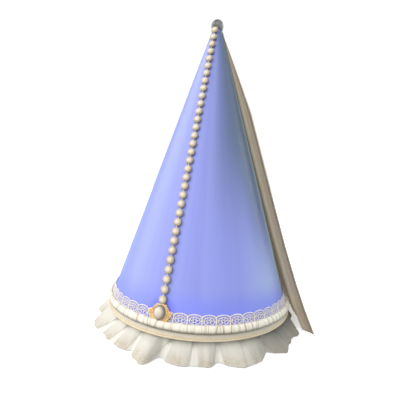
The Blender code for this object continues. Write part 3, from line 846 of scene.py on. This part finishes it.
# Folds round the ruffle's front: azimuth at the rim and at the hem in degrees, share of the depth
RUFFLE_FOLDS = (
    (-53.0, -57.0, 0.9), (-30.0, -38.0, 1.0), (-19.2, -24.7, 0.8), (-9.1, -11.5, 0.9), (8.5, 3.5, 1.0),
    (19.3, 19.8, 0.7), (31.2, 31.5, 0.9), (43.2, 45.5, 0.6), (54.8, 59.0, 1.0), (67.0, 71.0, 0.6),
    (79.3, 82.0, 0.9),
)
FOLD_DEPTH = 0.0016


def ruffle_folds(azimuth, drop, flare):
    """How far each place lies down in a fold, and how near it is to the fold's head, where dark shade is
    painted.
    """
    chance = np.random.default_rng(8)
    folds = list(RUFFLE_FOLDS)
    for place in range(94, 296, 12):
        folds.append((place + chance.uniform(-1.5, 1.5), place, chance.uniform(0.5, 1.0)))
    fold = np.zeros((len(azimuth), len(drop)))
    painted_crease_shade = np.zeros_like(fold)
    for top, hem, depth in folds:
        middle = np.radians(top + (hem - top) * np.clip(drop, 0.0, 1.0))
        away = np.abs((azimuth[:, None] - middle + math.pi) % TURN - math.pi)
        half = np.radians(0.5 + (0.8 + 2.0 * depth) * flare)
        fold = np.maximum(fold, depth * (1 - smooth_step((away - 0.5 * half) / (0.7 * half))))
        width = np.radians(0.5 + 2.0 * np.clip(1 - flare / 0.5, 0.0, 1.0))
        head = np.exp(-(away / width) ** 2 - (flare / 0.34) ** 2)
        painted_crease_shade = np.maximum(painted_crease_shade, depth * head)
    return fold, painted_crease_shade


def ruffle():
    """Gathered cotton, sewn inside the rim and fluted out to a level hem."""
    steps, rows = 1400, 26
    chance = np.random.default_rng(5)
    azimuth = np.arange(steps) * TURN / steps
    reach = hem_reach(azimuth)
    heading = np.linspace(-RUFFLE_HEADING / RIM_Z, 0.0, 5)[:-1]
    drop = np.concatenate((heading, np.linspace(0.03, 1.0, rows)))
    z = RIM_Z * (1 - drop)
    wall = CROWN_WALL / COS_CONE
    top = radius_at(np.maximum(z, RIM_Z)) - wall - (SEAT_GAP + RUFFLE_CLOTH) / COS_CONE
    flare = np.clip((drop - 0.03) / 0.97, 0.0, 1.0) ** 0.88
    flute = 1 - (1 - flare) ** 2.2
    radius = top + (HEM_RADIUS - top) * flare + reach[:, None] * FLUTE_HALF_DEPTH * flute
    fold, painted_crease_shade = ruffle_folds(azimuth, drop, flare)
    radius -= FOLD_DEPTH * fold * ((flare / 0.25) * np.exp(1 - flare / 0.25) + 0.4 * flare)
    gathers = sum(chance.uniform(0.3, 1.0) * np.sin(count * azimuth + chance.uniform(0, TURN))
                  for count in (61, 83, 97, 126, 149)) / 3
    near_top = np.clip(flare * 6, 0, 1) * np.exp(-flare * 3.2)
    ripple = np.sin(37 * azimuth + 1.0) * 0.6 + np.sin(58 * azimuth) * 0.4
    radius += 0.0007 * gathers[:, None] * near_top[None, :] - 0.0003 * near_top[None, :]
    creases = np.sin(71 * azimuth + 0.6 * np.sin(5 * azimuth)) + 0.7 * np.sin(113 * azimuth + 1.1)
    radius += (0.00035 * ripple[:, None] + 0.00022 * creases[:, None]) * flare[None, :]
    points = around(radius, azimuth[:, None], z[None, :])
    points[..., 2] += 0.0004 * (drop > 0.99)[None, :]
    piece = grid_piece("ruffle_cloth", points, ruffle_cotton(), ["ruffle"], ring_u=True)
    paint(piece, "fold", fold)
    paint(piece, "painted_crease_shade", 0.8 * painted_crease_shade)
    paint(piece, "drop", np.broadcast_to(drop[None, :], radius.shape))
    thicken(piece, RUFFLE_CLOTH)


# Up the veil from the roll: share of the height to the tip, share of the stand-off that the
# roll gives it, share of VEIL_FOLD_DEPTH, share of VEIL_EDGE_FLARE
VEIL_ROWS = (
    (0.00, 1.20, 0.95, 0.84), (0.09, 0.85, 0.85, 0.73), (0.22, 0.55, 0.75, 0.63),
    (0.38, 0.33, 0.62, 0.57), (0.54, 0.20, 0.50, 0.52), (0.70, 0.10, 0.36, 0.47),
    (0.87, 0.02, 0.16, 0.22), (1.00, 0.00, 0.00, 0.00),
)

# Across the veil: place of each ridge as a share of the half spread, share of the fold's depth.
# The first is the edge that stands off, the last lies close.
VEIL_RIDGES = (
    (-1.00, 1.00), (-0.88, 0.85), (-0.57, 1.00), (-0.36, 0.75), (-0.13, 0.95),
    (0.10, 0.80), (0.33, 1.00), (0.57, 0.75), (0.79, 0.60), (1.00, 0.25),
)
OVER_RUFFLE = 0.0112          # stand-off of the veil's valleys where they pass the hem

# In from the veil's free edge to the cone: share of the way, lightness of the cloth, painted in as bands of
# light and shade
EDGE_PAINTED_SHADING = (
    (0.0, 0.75), (0.07, 0.80), (0.15, 0.30), (0.27, 0.05), (0.40, 0.40), (0.64, 0.42), (0.76, 0.66),
    (1.0, 0.55),
)


def veil():
    """Voile in long folds from the tip down the back."""
    columns, rows = 540, 76
    spread = np.linspace(-1.0, 1.0, columns)
    azimuth = math.pi + VEIL_HALF_SPREAD * spread
    roll_z = DATUM_Z - ROLL_HEIGHT / 2 * COS_CONE
    top_z = TIP_Z - VEIL_TOP_DROP
    z = np.linspace(0.0, top_z, rows)
    close = (SEAT_GAP + VEIL_CLOTH) / COS_CONE
    over_roll = (SEAT_GAP + ROLL_DEPTH) / COS_CONE
    levels = np.array([0.0] + [roll_z + (top_z - roll_z) * row[0] for row in VEIL_ROWS])
    valley = np.interp(z, levels, [close + OVER_RUFFLE] + [close + over_roll * row[1] for row in VEIL_ROWS])
    fold = np.interp(z, levels, [VEIL_FOLD_DEPTH] + [VEIL_FOLD_DEPTH * row[2] for row in VEIL_ROWS])
    flare = np.interp(z, levels, [VEIL_EDGE_FLARE] + [VEIL_EDGE_FLARE * row[3] for row in VEIL_ROWS])
    marks = []
    for index, (place, depth) in enumerate(VEIL_RIDGES):
        if index:
            marks.append(((VEIL_RIDGES[index - 1][0] + place) / 2, 0.0))
        marks.append((place, depth))
    places = np.array([mark[0] for mark in marks])
    depths = np.array([mark[1] for mark in marks])
    slot = np.clip(np.searchsorted(places, spread, side="right") - 1, 0, len(places) - 2)
    share = smooth_step((spread - places[slot]) / (places[slot + 1] - places[slot]))
    ridge = depths[slot] * (1 - share) + depths[slot + 1] * share
    fine = 0.10 * np.sin(61 * spread + 0.6) + 0.07 * np.sin(97 * spread + 2.2)
    stand = valley[None, :] + fold[None, :] * np.clip(ridge + fine, 0.0, None)[:, None]
    lip = np.where(slot == 0, 1 - share, 0.0)[:, None]
    edge_stand = np.maximum(valley, flare)[None, :]
    stand = stand * (1 - lip) + edge_stand * lip
    radius = radius_at(z)[None, :] + stand
    points = around(radius, azimuth[:, None], z[None, :])
    piece = grid_piece("veil_cloth", points, veil_voile(), ["veil"])
    # Painted light and shade: paler on the ridges, browner in the valleys, in bands across the flared edge.
    tone = 0.45 + 0.45 * np.clip(ridge + fine, 0.0, 1.0)
    edge_painted_shading = np.interp(share, [row[0] for row in EDGE_PAINTED_SHADING], [row[1] for row in EDGE_PAINTED_SHADING])
    tone = np.where(slot == 0, edge_painted_shading, tone)
    paint(piece, "tone", np.broadcast_to(tone[:, None], radius.shape))
    # Where the painted glow lies: near the free edge.
    painted_glow = smooth_step((-0.62 - spread) / 0.08)
    paint(piece, "painted_glow", np.broadcast_to(painted_glow[:, None], radius.shape))
    thicken(piece, VEIL_CLOTH)


# Camera as fitted to the photograph, in cone radii from the point on the axis at the roll's
# upper edge, then turned about the axis to the hat's own front
CAMERA_PLACE = (0.0, -3.6039, 1.2658)
CAMERA_YAW = -0.0156
CAMERA_PITCH = -0.0852
CAMERA_ROLL = -0.0675
CAMERA_ROUND = math.radians(20.4)
IMAGE_SIZE = 420.0
FOCAL_PIXELS = 303.33
SENSOR = 36.0


def camera():
    """Camera at the fitted place, with the fitted lens."""
    lens = bpy.data.cameras.new("camera")
    lens.sensor_fit = "HORIZONTAL"
    lens.sensor_width = SENSOR
    lens.lens = FOCAL_PIXELS / IMAGE_SIZE * SENSOR
    lens.clip_start = 0.01
    item = bpy.data.objects.new("camera", lens)
    bpy.context.scene.collection.objects.link(item)
    turned = (Matrix.Rotation(CAMERA_ROUND, 3, "Z") @ Matrix.Rotation(CAMERA_YAW, 3, "Z")
              @ Matrix.Rotation(CAMERA_PITCH, 3, "X") @ Matrix.Rotation(CAMERA_ROLL, 3, "Y"))
    right, ahead, up = turned.col[0], turned.col[1], turned.col[2]
    place = Matrix.Rotation(CAMERA_ROUND, 3, "Z") @ Vector(CAMERA_PLACE) * DATUM_RADIUS
    pose = Matrix((right, up, -ahead)).transposed().to_4x4()
    pose.translation = place + Vector((AXIS_X, AXIS_Y, DATUM_Z))
    item.matrix_world = pose
    bpy.context.scene.camera = item


def sun(name, strength, azimuth, elevation, softness, colour):
    """Distant soft light from an azimuth about the hat and an elevation, in degrees."""
    lamp = bpy.data.lights.new(name, "SUN")
    lamp.energy = strength
    lamp.angle = math.radians(softness)
    lamp.color = colour
    item = bpy.data.objects.new(name, lamp)
    bpy.context.scene.collection.objects.link(item)
    turn, rise = math.radians(azimuth), math.radians(elevation)
    source = Vector((math.sin(turn) * math.cos(rise), -math.cos(turn) * math.cos(rise), math.sin(rise)))
    item.rotation_euler = source.to_track_quat("Z", "Y").to_euler()


def studio():
    """Pale floor, soft sky and four soft lights."""
    bpy.ops.mesh.primitive_plane_add(size=12.0, location=(0.0, 0.0, -0.0005))
    floor = bpy.context.object
    floor.name = "floor"
    pale = Finish("floor", Roughness=0.9, Emission_Color=(1.0, 1.0, 1.0, 1.0), Emission_Strength=0.45)
    cloud = pale.noise(pale.where(), 3.0)
    pale.set("Base Color", pale.mix(cloud, (252, 252, 252), (248, 248, 248)))
    floor.data.materials.append(pale.material)
    floor.visible_diffuse = False
    floor.visible_glossy = False
    world = bpy.data.worlds.new("studio")
    world.use_nodes = True
    nodes, links = world.node_tree.nodes, world.node_tree.links
    ambient = nodes["Background"]
    ambient.inputs["Color"].default_value = (1.0, 1.0, 1.0, 1.0)
    backdrop = nodes.new("ShaderNodeMapRange")
    backdrop.inputs["To Min"].default_value = 0.42
    backdrop.inputs["To Max"].default_value = 1.05
    seen = nodes.new("ShaderNodeLightPath").outputs["Is Camera Ray"]
    links.new(seen, backdrop.inputs["Value"])
    links.new(backdrop.outputs["Result"], ambient.inputs["Strength"])
    bpy.context.scene.world = world
    bpy.context.scene.view_settings.view_transform = "Standard"
    sun("key", 1.8, -75.0, 30.0, 70.0, (1.0, 0.99, 0.97))
    sun("front", 1.6, -12.0, 42.0, 70.0, (1.0, 0.99, 0.97))
    sun("side", 0.5, 84.0, 12.0, 50.0, (0.84, 0.97, 1.0))
    sun("rim", 1.2, 150.0, 20.0, 40.0, (0.80, 0.97, 1.0))


camera()
studio()
crown()
finial()
pearls()
brooch()
lace()
roll()
band()
edge()
ruffle()
veil()
